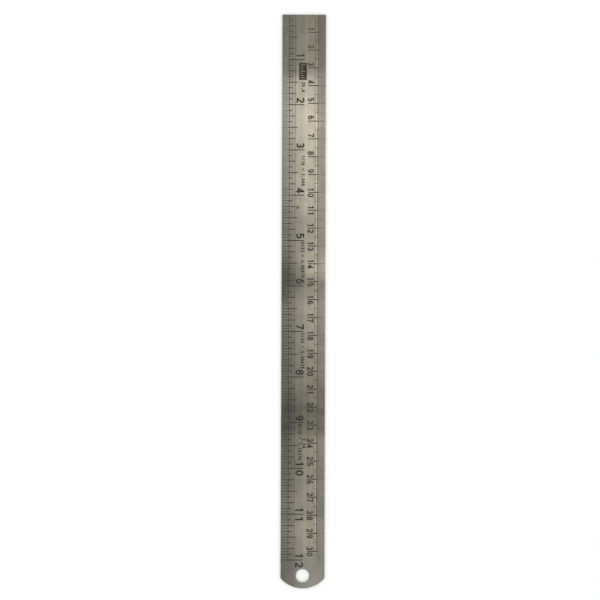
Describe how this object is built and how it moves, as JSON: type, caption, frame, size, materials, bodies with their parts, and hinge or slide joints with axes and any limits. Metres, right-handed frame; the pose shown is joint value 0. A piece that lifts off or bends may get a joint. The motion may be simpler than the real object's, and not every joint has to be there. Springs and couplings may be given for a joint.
{
  "type": "steel ruler",
  "caption": "Flat steel rule with an inch scale along one edge, a metric scale along the other, a square zero end and a rounded end with a hang hole.",
  "frame": {"origin": "middle of the rule's length and width, on its back face, which is what it lies on", "axes": "+X along the rule from the square zero end to the hang hole; +Y from the inch edge to the metric edge; +Z out of the graduated face"},
  "size_m": [0.3205, 0.0244, 0.0009],
  "materials": {
    "brushed_steel": "satin stainless, brushed lengthwise, a little dull and mottled with handling",
    "black_enamel": "brown-black enamel, semi-matt, slightly worn"
  },
  "bodies": {
    "root": {"blade": "brushed_steel", "inch_ruling_lines": "black_enamel", "inch_marks": "black_enamel", "half_inch_marks": "black_enamel", "quarter_inch_marks": "black_enamel", "eighth_inch_marks": "black_enamel", "sixteenth_inch_marks": "black_enamel", "thirty_second_inch_marks": "black_enamel", "inch_figures": "black_enamel", "metric_ruling_lines": "black_enamel", "centimetre_marks": "black_enamel", "five_millimetre_marks": "black_enamel", "millimetre_marks": "black_enamel", "half_millimetre_marks": "black_enamel", "centimetre_figures": "black_enamel", "conversion_notes": "black_enamel", "plain_badge": "black_enamel", "back_table_lines": "black_enamel", "back_table_figures": "black_enamel"}
  },
  "joints": []
}
